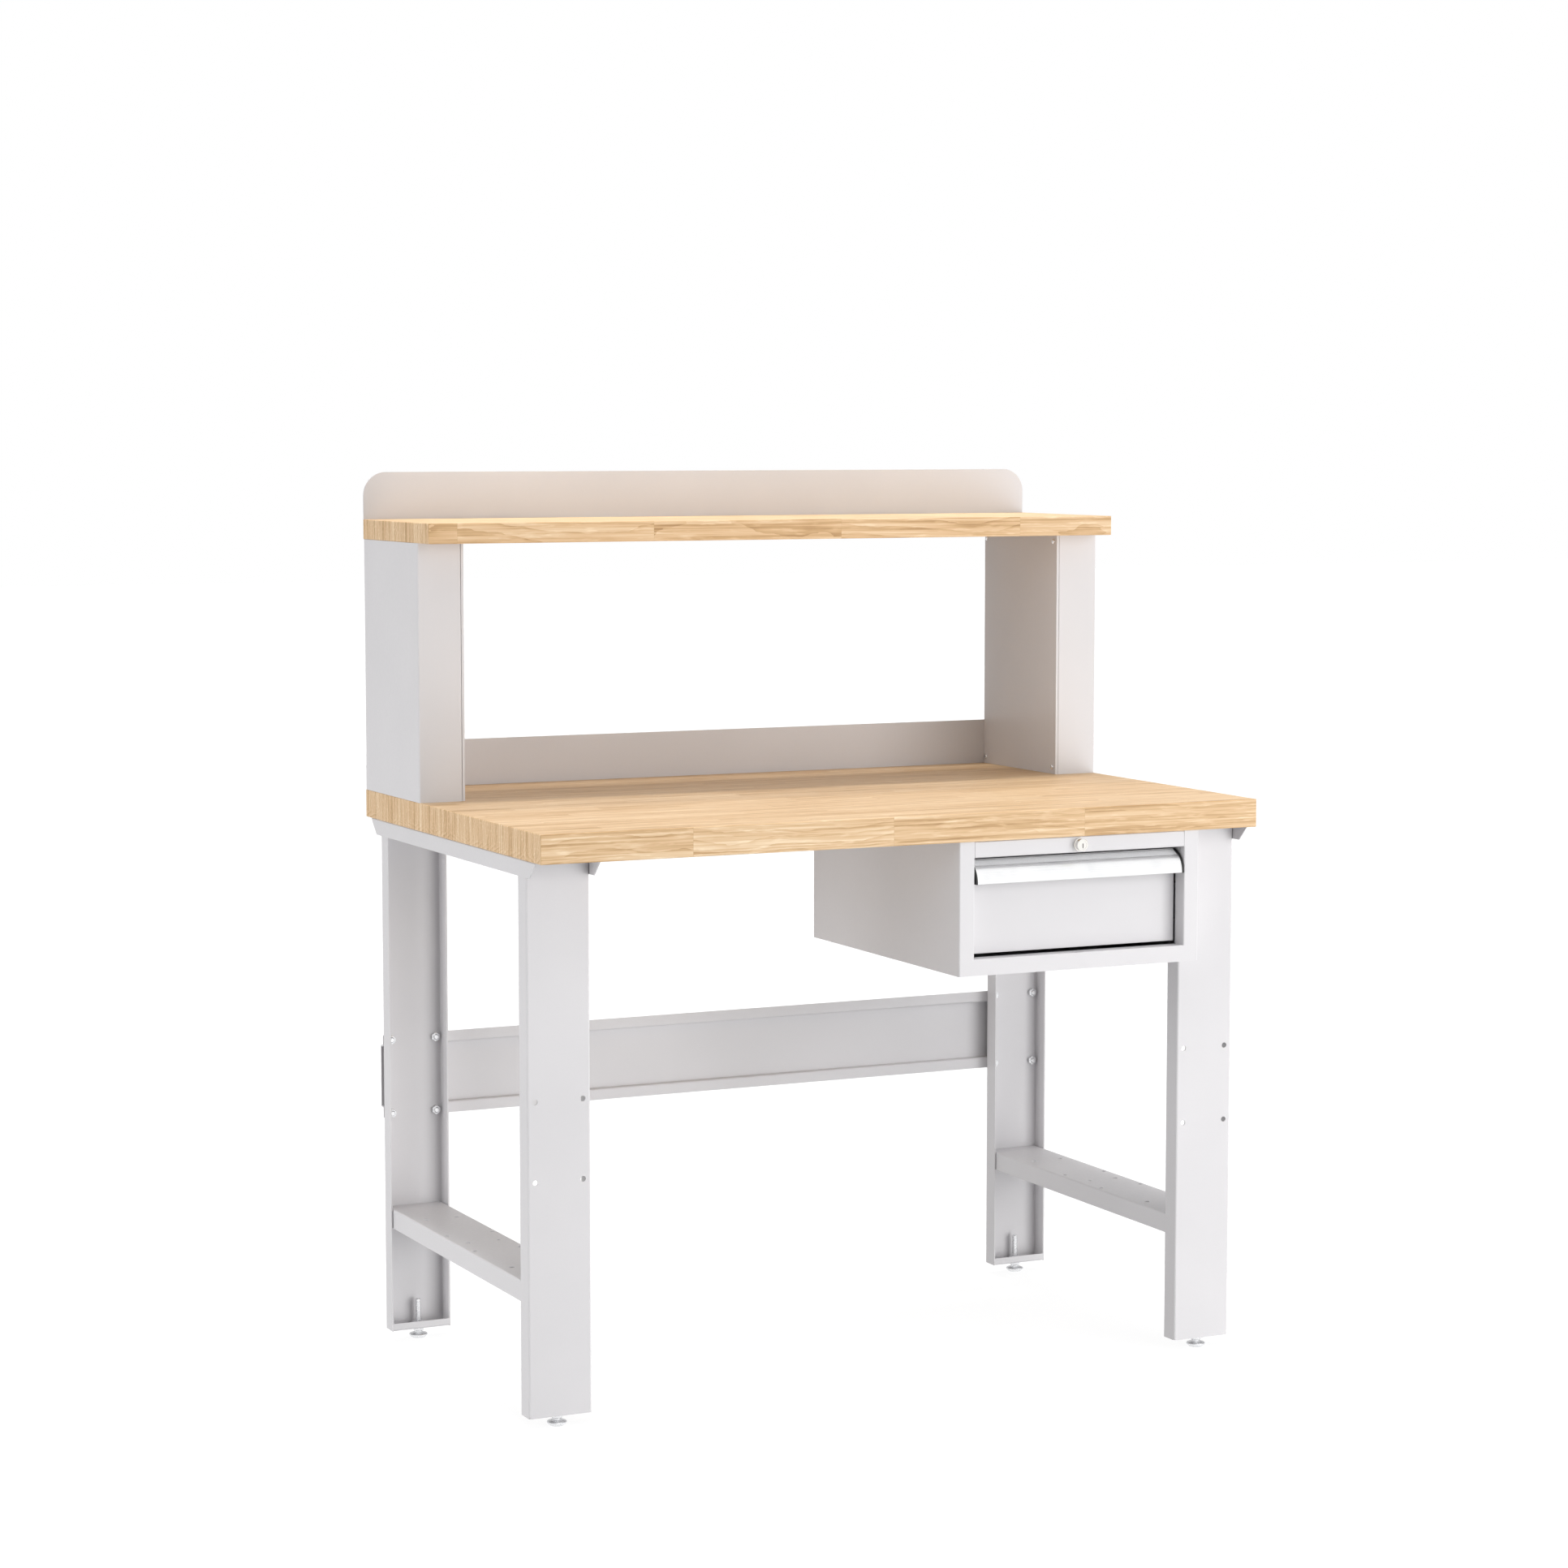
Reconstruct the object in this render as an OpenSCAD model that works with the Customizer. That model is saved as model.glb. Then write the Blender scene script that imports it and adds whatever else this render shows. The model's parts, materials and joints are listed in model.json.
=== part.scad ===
// Workshop bench with a raised shelf, steel legs and one lockable drawer under the worktop.
// Millimetres. X runs right seen from the front, Y to the back and Z up.
// The origin is on the floor under the middle of the worktop.

/* [Worktop] */
// Width of the worktop and of the shelf
top_w = 1219; // [1000:1:1800]
// Depth of the worktop
top_d = 762; // [740:1:900]
// Thickness of the worktop
top_t = 44.5; // [30:0.5:60]
// Height of the worktop's upper face above the floor
work_h = 894.5; // [780:0.5:1000]

/* [Shelf] */
// Depth of the shelf
shelf_d = 305; // [260:1:400]
// Thickness of the shelf
shelf_t = 32; // [20:0.5:45]
// Clear height between the worktop and the shelf
shelf_gap = 406; // [250:1:500]
// Width of each riser that carries the shelf
riser_w = 76; // [60:1:120]
// Depth of each riser
riser_d = 252; // [150:1:255]
// Height of the rear stops above the board in front of them
stop_h = 76; // [40:1:120]
// Corner radius of the rear stops
stop_r = 38; // [5:1:40]

/* [Legs] */
// Width of a post
post_w = 100; // [80:1:120]
// Depth of a post's side flanges
post_flange = 31.5; // [25:0.5:45]
// Distance from the worktop's front or rear edge to the nearest post
leg_inset = 65; // [50:1:90]
// Height of the foot rail's upper face above the floor
foot_rail_z = 218; // [120:1:300]
// Hole spacing across the accessory pattern
pattern_x = 76; // [50:1:80]
// Hole spacing along the accessory pattern
pattern_y = 120.5; // [80:0.5:160]
// Height of the accessory pattern's middle above the floor
pattern_z = 431.5; // [380:0.5:520]
// Diameter of the accessory holes
hole_d = 8.5; // [6:0.5:10]

/* [Levelling glides] */
// Diameter of a glide's pad
pad_d = 30; // [24:1:40]
// Diameter of a glide's threaded stud
stud_d = 10; // [8:1:12]
// Length of a stud above the floor
stud_top = 64; // [50:1:90]

/* [Drawer unit] */
// Width of the drawer unit
cab_w = 427; // [360:1:480]
// Height of the drawer unit
cab_h = 207.5; // [180:0.5:260]
// Depth of the drawer unit
cab_d = 505.5; // [505.5:0.5:560]
// Width of the unit's stiles
stile_w = 26.5; // [24:0.5:32]
// Height of the unit's top and bottom rails
rail_h = 25.5; // [24:0.5:32]
// How far the drawer front stands behind the face of the unit
recess = 27; // [25:0.5:32]
// Radius of the handle's front curve
grip_r = 35.5; // [33:0.5:38]
// Diameter of the lock cylinder
lock_d = 19; // [16:0.5:19]

/* [Hidden] */
$fn = 48;

// Colours
paint = [0.90, 0.90, 0.91];
timber = [0.90, 0.76, 0.58];
zinc = [0.75, 0.76, 0.78];
aluminium = [0.86, 0.87, 0.88];
black_plastic = [0.08, 0.08, 0.09];
steel = [0.62, 0.63, 0.65];

// Sides: -1 is left or front, +1 is right or rear
left = -1;
right = 1;
front = -1;
rear = 1;

// Sheet metal
sheet = 2;              // posts, foot rails, stringer and stops
thin = 1.5;             // crossbars and risers
panel = 1.2;            // drawer unit and drawer
bend = 1;               // inside radius of a fold
slip = 0.1;             // play between nested sheet parts

// Boards
edge_r = 1.5;           // eased edges
front_y = -top_d / 2;
rear_y = top_d / 2;
under_z = work_h - top_t;
shelf_z = work_h + shelf_gap;
shelf_top_z = shelf_z + shelf_t;
shelf_y = rear_y - shelf_d / 2;
pilot_gap = 0.1;        // radial gap round a wood screw

// Legs
post_lift = 17;         // floor to the underside of a post
post_top = under_z - thin;
post_h = post_top - post_lift;
post_lip = 12;          // upturned lip of a post's foot plate
notch = 3;              // chamfer at a post's lower corners
ease = 1.2;             // chamfer that clears the crossbar's folds
bar_w = post_w + 2 * (thin + slip);
bar_h = 25;
bar_inset = 24;         // worktop edge to the end of a crossbar
end_gap = 0.8;          // crossbar to the end of the worktop
leg_x = top_w / 2 - end_gap - bar_w / 2;
leg_y = top_d / 2 - leg_inset;
foot_rail_h = 31;
foot_rail_w = post_w - 2 * sheet - 2 * bend - 0.2;
foot_rail_l = 2 * (leg_y - sheet);
pair_x = 51;            // spacing of the paired holes in a foot rail
pair_y = 187.5;         // their distance from the middle of the rail
stud_y = leg_y - post_flange / 2 + 0.2;

// Stringer: a hat section along the rear posts
hat_h = 135;
hat_crown = 102;
hat_depth = 12;
hat_l = 2 * (leg_x + post_w / 2);

// Fasteners
bolt_d = 8;
bolt_head_t = 5.3;
nut_across = 13;
nut_t = 6.5;
bolt_end = 2;
screw_d = 5.5;
screw_l = 26;
screw_head_d = 12;
screw_head_t = 3;
small_d = 4;
small_head_d = 8.5;
small_head_t = 2.4;
top_screw_x = 28;
top_screw_y = [-230, 0, 230];

// Glides
pad_t = 8;
neck_d = 11;
neck_z = 10.5;
hex_across = 14.3;
glide_nut_across = 17;
glide_nut_t = 8;
stud_hole_gap = 0.4;

// Risers and rear stops
riser_x = top_w / 2 - riser_w / 2;
riser_rear_y = rear_y - sheet;
riser_front_y = riser_rear_y - riser_d;
cover_t = 4;            // depth of a riser cover's rim
lip = 15;               // lips of the risers
cover_screw_front = 11;
cover_screw_rear = 7;
cover_screw_z = 11.5;
stop_top_z = shelf_top_z + stop_h;
stop_w = top_w - 2;

// Drawer unit, measured from its middle line and its face
cab_side_gap = 0.2;
cab_x = leg_x - bar_w / 2 - cab_side_gap - cab_w / 2;
cab_face_y = front_y + 4;
cab_rear_y = cab_face_y + cab_d;
cab_bottom_z = under_z - cab_h;
return_d = 26;          // depth of the returns behind the face
open_w = cab_w - 2 * stile_w;
open_h = cab_h - 2 * rail_h;
open_top_z = under_z - rail_h;
hang_flange = 16;
tab = 20;               // tabs that tie the top rail to the stiles
seam = 0.5;
back_gap = 0.2;

// Drawer slides, measured from the bracket's face towards the middle
slide_t = 12.7;
slide_l = 450;
slide_y = cab_face_y + 40;
slide_z = cab_bottom_z + 89.5;
slide_wall = 1.2;
bracket_half = open_w / 2 - 0.6;
bracket_h = 60;
bracket_l = 455;
outer_h = 45;
outer_reach = 9;
ball_gap = 3.6;
middle_h = outer_h - 2 * slide_wall - 2 * ball_gap;
middle_from = 2.4;
middle_reach = 10.4;
inner_h = middle_h - 2 * slide_wall - 2 * ball_gap;
inner_from = 4.6;
ball_d = 3;
ball_count = 8;
cage_l = 100;
cage_y = slide_y + 156;
cage_t = 0.8;
cage_w = 4.6;

// Drawer
drawer_gap = 1.5;
drawer_w = open_w - 2 * drawer_gap;
drawer_face_y = cab_face_y + recess;
drawer_top_z = open_top_z - 5.2;
drawer_bottom_z = cab_bottom_z + rail_h + 5;
pan_d = 10;             // depth of the drawer front's flanges
flange_drop = 8;        // drawer front's top edge to the flange that the cam hooks under
box_half = bracket_half - slide_t;
box_y = drawer_face_y + pan_d;
box_l = 454;
box_z = drawer_bottom_z + 3;
box_h = 112;
box_hem = 8;
bumper_d = 12;
bumper_x = 120;
bumper_z = box_z + 60;

// Handle, measured from the drawer front's face and the level of its lip
grip_back = 7;          // centre of the curve behind the drawer front
grip_wall = 3.4;
grip_leg = 2.2;
grip_leg_z = 8;
bead_r = 2.4;
bead_z = 1.6;
cap_t = 3;
cap_r = grip_r + 0.5;
handle_w = drawer_w - 2 * cap_t;
handle_z = open_top_z - 40.5;
label_from = 2.5;
label_l = 15;
label_angle = 28.5;
label_drop = 0.9;
label_t = 0.6;
label_lip = 1;          // ridge between the bed and its groove
label_groove_w = 1.2;
label_groove_deep = 0.3; // below the bed
label_end_gap = 1;
handle_screw_z = handle_z + 15;
handle_screw_x = [-140, 0, 140];

// Lock
lock_x = cab_x - 3.5;
lock_z = under_z - 12.9;
lock_proud = 12;
lock_back = 30;         // face of the unit to the rear of the lock
bezel_d = 20.5;
bezel_t = 3;
rim = 0.6;
plug_d = 13;
plug_gap = 0.05;
key_w = 1.4;
key_h = 7;
key_deep = 9;
lock_nut_across = 22;
lock_nut_t = 5;
lock_collar_d = 20.6;   // round collar that keeps the nut clear of the rail's folds
lock_collar_t = 1.2;
cam_l = 30;
cam_w = 12;
cam_t = 2.5;
cam_y = cab_face_y + lock_back + 0.3;
cam_hub_d = 15;
spindle_d = 8;
cam_slot_l = 44;
cam_slot_w = 6;

// Bent sheet seen edge-on: a strip of thickness t along right-angled points
module folded(points, t) {
    middle_r = bend + t / 2;
    last = len(points) - 1;
    for (i = [0 : last - 1]) {
        span = points[i + 1] - points[i];
        run = span / norm(span);
        start = points[i] + run * (i > 0 ? middle_r : 0);
        stop = points[i + 1] - run * (i < last - 1 ? middle_r : 0);
        translate(start)
            rotate(atan2(run.y, run.x))
                translate([0, -t / 2])
                    square([norm(stop - start), t]);
    }
    for (i = [1 : last - 1]) {
        into = (points[i] - points[i - 1]) / norm(points[i] - points[i - 1]);
        away = (points[i] - points[i + 1]) / norm(points[i] - points[i + 1]);
        turn = cross(into, away) > 0 ? into : away;
        translate(points[i] - (into + away) * middle_r)
            intersection() {
                difference() {
                    circle(r = middle_r + t / 2);
                    circle(r = middle_r - t / 2);
                }
                rotate(atan2(turn.y, turn.x))
                    square(middle_r + t);
            }
    }
}

// Outline drawn in the X-Z plane, run from y = 0 to y = l
module along_y(l) {
    translate([0, l, 0])
        rotate([90, 0, 0])
            linear_extrude(l)
                children();
}

// Outline drawn in the Y-Z plane, run l long and centred on x = 0
module along_x(l) {
    translate([-l / 2, 0, 0])
        rotate([90, 0, 90])
            linear_extrude(l)
                children();
}

// Copies its children to the left side, which is modelled, or mirrors them to the right
module on_side(side) {
    mirror([side == right ? 1 : 0, 0, 0])
        children();
}

// Board centred on x = 0 and y = 0 with its lower face at z = 0 and eased edges
module board(w, d, t) {
    intersection() {
        linear_extrude(t)
            eased(w, d);
        along_x(w)
            translate([0, t / 2])
                eased(d, t);
        translate([0, -d / 2, 0])
            along_y(d)
                translate([0, t / 2])
                    eased(w, t);
    }
}

// Rectangle with rounded corners
module eased(w, h) {
    square([w - 2 * edge_r, h], center = true);
    square([w, h - 2 * edge_r], center = true);
    for (x = [-1, 1], y = [-1, 1])
        translate([x * (w / 2 - edge_r), y * (h / 2 - edge_r)])
            circle(r = edge_r);
}

// Round hole along Z through a sheet near z = 0
module drill(d) {
    translate([0, 0, -5])
        cylinder(d = d, h = 10);
}

// Pan-head screw: head above z = 0, shank below
module pan_screw(d, head_d, head_t, l) {
    cylinder(d = head_d, h = head_t * 0.55);
    translate([0, 0, head_t * 0.55])
        cylinder(d1 = head_d, d2 = head_d * 0.6, h = head_t * 0.45);
    translate([0, 0, -l])
        cylinder(d = d, h = l);
}

// ---- Worktop and its screws ----

// Places children at one leg's screws through the crossbar
module at_top_screws() {
    for (side = [left, right], x = [-1, 1], y = top_screw_y)
        translate([side * leg_x + x * top_screw_x, y, under_z - thin])
            children();
}

// Places children at the screws through the drawer unit's hanging flanges
module at_cabinet_screws() {
    for (side = [left, right], y = [90, 430])
        translate([cab_x + side * (cab_w / 2 - panel - hang_flange / 2), cab_face_y + y, under_z - panel])
            children();
}

// Places children at the screws through the risers' foot flanges
module at_riser_feet() {
    for (side = [left, right], y = [60, 190])
        translate([side * (riser_x + 10), riser_front_y + y, 0])
            children();
}

module worktop() {
    color(timber)
        difference() {
            translate([0, 0, under_z])
                board(top_w, top_d, top_t);
            at_top_screws()
                cylinder(d = screw_d + 2 * pilot_gap, h = screw_l + 1);
            at_cabinet_screws()
                cylinder(d = screw_d + 2 * pilot_gap, h = screw_l + 1);
            at_riser_feet()
                translate([0, 0, work_h - screw_l])
                    cylinder(d = screw_d + 2 * pilot_gap, h = screw_l + 1);
        }
}

module worktop_screws() {
    color(zinc)
        at_top_screws()
            mirror([0, 0, 1])
                pan_screw(screw_d, screw_head_d, screw_head_t, screw_l);
}

// ---- Shelf ----

// Places children at the screws through the upper stop into the shelf's rear edge
module at_shelf_rear() {
    for (x = [-0.42, -0.14, 0.14, 0.42])
        translate([x * top_w, rear_y + sheet, shelf_z + shelf_t / 2])
            rotate([-90, 0, 0])
                children();
}

module shelf() {
    color(timber)
        difference() {
            translate([0, shelf_y, shelf_z])
                board(top_w, shelf_d, shelf_t);
            at_riser_feet()
                translate([0, 0, shelf_z - 1])
                    cylinder(d = screw_d + 2 * pilot_gap, h = screw_l / 2 + 11);
            at_shelf_rear()
                translate([0, 0, -screw_l])
                    cylinder(d = screw_d + 2 * pilot_gap, h = screw_l);
        }
}

// ---- Legs ----

// Places children at the four accessory holes, in a plane across the Z axis
module at_pattern() {
    for (x = [-1, 1], y = [-1, 1])
        translate([x * pattern_x / 2, y * pattern_y / 2, 0])
            children();
}

// Front left post: web to the front, flanges to the back, on its own centre line
module post() {
    inside = post_w - 2 * sheet;
    difference() {
        union() {
            linear_extrude(post_h)
                folded([
                    [-post_w / 2 + sheet / 2, post_flange],
                    [-post_w / 2 + sheet / 2, sheet / 2],
                    [post_w / 2 - sheet / 2, sheet / 2],
                    [post_w / 2 - sheet / 2, post_flange]
                ], sheet);
            along_x(inside)
                folded([[sheet, sheet / 2], [post_flange - sheet / 2, sheet / 2],
                    [post_flange - sheet / 2, post_lip]], sheet);
        }
        translate([0, 0, pattern_z - post_lift])
            rotate([90, 0, 0])
                at_pattern()
                    drill(hole_d);
        translate([0, leg_y - stud_y, 0])
            drill(stud_d + 2 * stud_hole_gap);
        for (x = [-1, 1]) {
            translate([x * post_w / 2, -sheet, 0])
                rotate([0, 45, 0])
                    cube([notch * sqrt(2), 4 * sheet, notch * sqrt(2)], center = true);
            translate([x * post_w / 2, post_flange / 2, post_h])
                rotate([0, 45, 0])
                    cube([ease * sqrt(2), post_flange + 2, ease * sqrt(2)], center = true);
        }
    }
}

module post_at(side, end) {
    color(paint)
        translate([side * leg_x, end * leg_y, post_lift])
            mirror([0, end == rear ? 1 : 0, 0])
                post();
}

module crossbar(side) {
    length = top_d - 2 * bar_inset;
    drop = bar_h - thin;
    color(paint)
        translate([side * leg_x, 0, under_z])
            difference() {
                translate([0, -length / 2, 0])
                    along_y(length)
                        folded([
                            [-bar_w / 2 + thin / 2, -bar_h],
                            [-bar_w / 2 + thin / 2, -thin / 2],
                            [bar_w / 2 - thin / 2, -thin / 2],
                            [bar_w / 2 - thin / 2, -bar_h]
                        ], thin);
                for (end = [front, rear])
                    translate([0, end * length / 2, -bar_h])
                        rotate([45, 0, 0])
                            cube([bar_w + 2, drop * sqrt(2), drop * sqrt(2)], center = true);
                for (x = [-1, 1], y = top_screw_y)
                    translate([x * top_screw_x, y, 0])
                        drill(screw_d + 2 * pilot_gap);
            }
}

module foot_rail(side) {
    color(paint)
        translate([side * leg_x, 0, foot_rail_z])
            difference() {
                translate([0, -foot_rail_l / 2, 0])
                    along_y(foot_rail_l)
                        folded([
                            [-foot_rail_w / 2 + sheet / 2, -foot_rail_h],
                            [-foot_rail_w / 2 + sheet / 2, -sheet / 2],
                            [foot_rail_w / 2 - sheet / 2, -sheet / 2],
                            [foot_rail_w / 2 - sheet / 2, -foot_rail_h]
                        ], sheet);
                at_pattern()
                    drill(hole_d);
                for (x = [-1, 1], y = [-1, 0, 1])
                    translate([x * pair_x / 2, y * pair_y, 0])
                        drill(hole_d);
            }
}

// Places children behind the rear posts, at the stringer's bolts, with Z pointing to the rear
module at_stringer_bolts() {
    for (side = [left, right])
        translate([side * leg_x, leg_y, pattern_z])
            rotate([-90, 0, 0])
                at_pattern()
                    children();
}

module rear_stringer() {
    low = pattern_z - hat_h / 2;
    high = pattern_z + hat_h / 2;
    crown_low = pattern_z - hat_crown / 2;
    crown_high = pattern_z + hat_crown / 2;
    color(paint)
        difference() {
            translate([0, leg_y, 0])
                along_x(hat_l)
                    folded([
                        [sheet / 2, low],
                        [sheet / 2, crown_low + sheet / 2],
                        [hat_depth - sheet / 2, crown_low + sheet / 2],
                        [hat_depth - sheet / 2, crown_high - sheet / 2],
                        [sheet / 2, crown_high - sheet / 2],
                        [sheet / 2, high]
                    ], sheet);
            at_stringer_bolts()
                drill(hole_d);
        }
}

module stringer_bolts() {
    color(zinc)
        at_stringer_bolts() {
            translate([0, 0, sheet])
                cylinder(d = nut_across / cos(30), h = bolt_head_t, $fn = 6);
            translate([0, 0, -sheet - nut_t - bolt_end])
                cylinder(d = bolt_d, h = 2 * sheet + nut_t + bolt_end);
        }
}

module stringer_nuts() {
    color(zinc)
        at_stringer_bolts()
            translate([0, 0, -sheet - nut_t])
                difference() {
                    cylinder(d = nut_across / cos(30), h = nut_t, $fn = 6);
                    translate([0, 0, -1])
                        cylinder(d = bolt_d + 2 * slip, h = nut_t + 2);
                }
}

// ---- Levelling glides ----

module glide_nuts() {
    color(zinc)
        for (side = [left, right], end = [front, rear])
            translate([side * leg_x, end * stud_y, post_lift + sheet])
                difference() {
                    cylinder(d = glide_nut_across / cos(30), h = glide_nut_t, $fn = 6);
                    translate([0, 0, -1])
                        cylinder(d = stud_d + 2 * slip, h = glide_nut_t + 2);
                }
}

module glide_stud_at(side, end) {
    color(zinc)
        translate([side * leg_x, end * stud_y, 0]) {
            translate([0, 0, pad_t])
                cylinder(d = neck_d, h = neck_z - pad_t);
            translate([0, 0, neck_z])
                cylinder(d = hex_across / cos(30), h = post_lift - 0.5 - neck_z, $fn = 6);
            translate([0, 0, post_lift - 0.5])
                cylinder(d = stud_d, h = stud_top - 1 - post_lift + 0.5);
            translate([0, 0, stud_top - 1])
                cylinder(d1 = stud_d, d2 = stud_d - 2, h = 1);
        }
}

module glide_pad_at(side, end) {
    color(zinc)
        translate([side * leg_x, end * stud_y, 0])
            rotate_extrude()
                polygon([
                    [0, 0], [pad_d / 2 - 4, 0], [pad_d / 2, 3.5], [pad_d / 2, 5.5],
                    [pad_d / 2 - 1, 6.5], [pad_d / 2 - 6, pad_t], [0, pad_t]
                ]);
}

// ---- Risers and rear stops ----

// Outer shell of a left riser, on the riser's own centre line, standing on z = 0
module riser_shell() {
    outer_x = -riser_w / 2 + thin / 2;
    lip_x = riser_w / 2 - cover_t - thin / 2;
    linear_extrude(shelf_gap)
        folded([
            [lip_x, riser_front_y + lip],
            [lip_x, riser_front_y + thin / 2],
            [outer_x, riser_front_y + thin / 2],
            [outer_x, riser_rear_y - thin / 2],
            [lip_x, riser_rear_y - thin / 2],
            [lip_x, riser_rear_y - lip]
        ], thin);
    for (z = [0, shelf_gap - thin])
        translate([-riser_w / 2 + thin, riser_front_y + thin, z])
            cube([riser_w - cover_t - 2 * thin - 6, riser_d - 2 * thin, thin]);
}

// Places children at one left riser's cover screws, with Z pointing into the room under the shelf
module at_cover_screws() {
    for (y = [riser_front_y + cover_screw_front, riser_rear_y - cover_screw_rear],
         z = [cover_screw_z, shelf_gap - cover_screw_z])
        translate([riser_w / 2, y, z])
            rotate([0, 90, 0])
                children();
}

module riser(side) {
    color(paint)
        translate([side * riser_x, 0, work_h])
            on_side(side)
                difference() {
                    riser_shell();
                    at_cover_screws()
                        translate([0, 0, -lip])
                            cylinder(d = small_d + 2 * slip, h = lip);
                    for (y = [60, 190], z = [0, shelf_gap])
                        translate([-10, riser_front_y + y, z])
                            drill(screw_d + 2 * pilot_gap);
                    for (z = [20, 60])
                        translate([-12, riser_rear_y, z])
                            rotate([90, 0, 0])
                                drill(small_d + 2 * slip);
                }
}

module riser_cover(side) {
    gap = 0.1;
    color(paint)
        translate([side * riser_x, 0, work_h])
            on_side(side)
                difference() {
                    translate([riser_w / 2 - cover_t, riser_front_y + gap, gap])
                        cube([cover_t, riser_d - 2 * gap, shelf_gap - 2 * gap]);
                    translate([riser_w / 2 - cover_t - 1, riser_front_y + thin + gap, thin + gap])
                        cube([cover_t - thin + 1, riser_d - 2 * (thin + gap), shelf_gap - 2 * (thin + gap)]);
                    at_cover_screws()
                        drill(small_d + 2 * slip);
                }
}

module riser_cover_screws() {
    color(zinc)
        for (side = [left, right])
            translate([side * riser_x, 0, work_h])
                on_side(side)
                    at_cover_screws()
                        pan_screw(small_d, small_head_d, small_head_t, lip - 2);
}

module riser_fixing_screws() {
    color(zinc)
        at_riser_feet() {
            translate([0, 0, work_h + thin])
                pan_screw(screw_d, screw_head_d, screw_head_t, screw_l / 2 + 10);
            translate([0, 0, shelf_z - thin])
                mirror([0, 0, 1])
                    pan_screw(screw_d, screw_head_d, screw_head_t, screw_l / 2 + 10);
        }
}

// Plate with its two upper corners rounded, from z = 0 up
module stop_plate(w, h) {
    translate([0, sheet, 0])
        rotate([90, 0, 0])
            linear_extrude(sheet) {
                translate([-w / 2, 0])
                    square([w, h - stop_r]);
                translate([-w / 2 + stop_r, 0])
                    square([w - 2 * stop_r, h]);
                for (x = [-1, 1])
                    translate([x * (w / 2 - stop_r), h - stop_r])
                        circle(r = stop_r);
            }
}

module upper_stop() {
    color(paint)
        difference() {
            translate([0, rear_y, shelf_z])
                stop_plate(stop_w, shelf_t + stop_h);
            at_shelf_rear()
                drill(screw_d + 2 * pilot_gap);
        }
}

// Places children at the screws through the lower stop, with Z pointing to the rear
module at_lower_stop_screws() {
    for (side = [left, right], z = [20, 60])
        translate([side * (riser_x + 12), rear_y, work_h + z])
            rotate([-90, 0, 0])
                children();
}

module lower_stop() {
    color(paint)
        difference() {
            translate([0, rear_y - sheet, work_h])
                stop_plate(stop_w, stop_h);
            at_lower_stop_screws()
                drill(small_d + 2 * slip);
        }
}

module stop_screws() {
    color(zinc) {
        at_shelf_rear()
            pan_screw(screw_d, screw_head_d, screw_head_t, screw_l);
        at_lower_stop_screws()
            pan_screw(small_d, small_head_d, small_head_t, lip - 3);
    }
}

// ---- Drawer unit ----

// Left half of the unit's shell: side, stile and hanging flange, from the unit's middle line
module cabinet_side() {
    side_x = -cab_w / 2 + panel / 2;
    return_x = -open_w / 2 - panel / 2;
    face_y = panel / 2;
    translate([0, 0, rail_h])
        linear_extrude(open_h)
            folded([[return_x, return_d], [return_x, face_y], [side_x, face_y], [side_x, cab_d]], panel);
    for (z = [0, rail_h + open_h])
        translate([0, 0, z])
            linear_extrude(rail_h)
                folded([[-open_w / 2, face_y], [side_x, face_y], [side_x, cab_d]], panel);
    translate([-cab_w / 2 + panel, return_d + 10, cab_h - panel])
        cube([hang_flange, cab_d - return_d - 30, panel]);
}

module cabinet_shell() {
    inside = cab_w - 2 * panel;
    color(paint)
        translate([cab_x, cab_face_y, cab_bottom_z])
            difference() {
                union() {
                    for (side = [left, right])
                        on_side(side)
                            cabinet_side();
                    translate([-inside / 2, panel, 0])
                        cube([inside, cab_d - panel, panel]);
                    translate([-open_w / 2 - 1, 0, 0])
                        cube([open_w + 2, panel, rail_h]);
                    translate([-open_w / 2 - panel, panel, rail_h - panel])
                        cube([open_w + 2 * panel, return_d - 2 - panel, panel]);
                }
                translate([-cab_x, -cab_face_y, -cab_bottom_z])
                    at_cabinet_screws()
                        drill(screw_d + 2 * pilot_gap);
            }
}

module cabinet_back() {
    w = cab_w - 2 * panel - 2 * back_gap;
    low = cab_bottom_z + panel + back_gap;
    high = under_z - back_gap;
    color(paint)
        translate([cab_x, cab_rear_y - panel, 0])
            along_x(w)
                folded([[-14, low + panel / 2], [panel / 2, low + panel / 2],
                    [panel / 2, high - panel / 2], [-14, high - panel / 2]], panel);
}

module cabinet_top_rail() {
    w = open_w - 2 * seam;
    low = panel / 2;
    high = rail_h - panel / 2 - 0.2;
    color(paint)
        translate([cab_x, cab_face_y, open_top_z])
            difference() {
                union() {
                    along_x(w)
                        folded([[return_d, low], [panel / 2, low],
                            [panel / 2, high], [return_d, high]], panel);
                    for (side = [left, right])
                        on_side(side)
                            translate([-open_w / 2 - tab, panel, 3])
                                cube([tab + seam + 2, panel, rail_h - 6]);
                }
                translate([lock_x - cab_x, 0, lock_z - open_top_z])
                    rotate([90, 0, 0])
                        drill(lock_d + 2 * slip);
            }
}

module cabinet_screws() {
    color(zinc)
        at_cabinet_screws()
            mirror([0, 0, 1])
                pan_screw(screw_d, screw_head_d, screw_head_t, screw_l);
}

// ---- Drawer slides ----

// Moves children to the unit's slide on one side: x = 0 is the bracket's face,
// x grows towards the middle of the drawer
module at_slide(side) {
    translate([cab_x, slide_y, slide_z])
        on_side(side)
            translate([-bracket_half, 0, 0])
                children();
}

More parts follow.
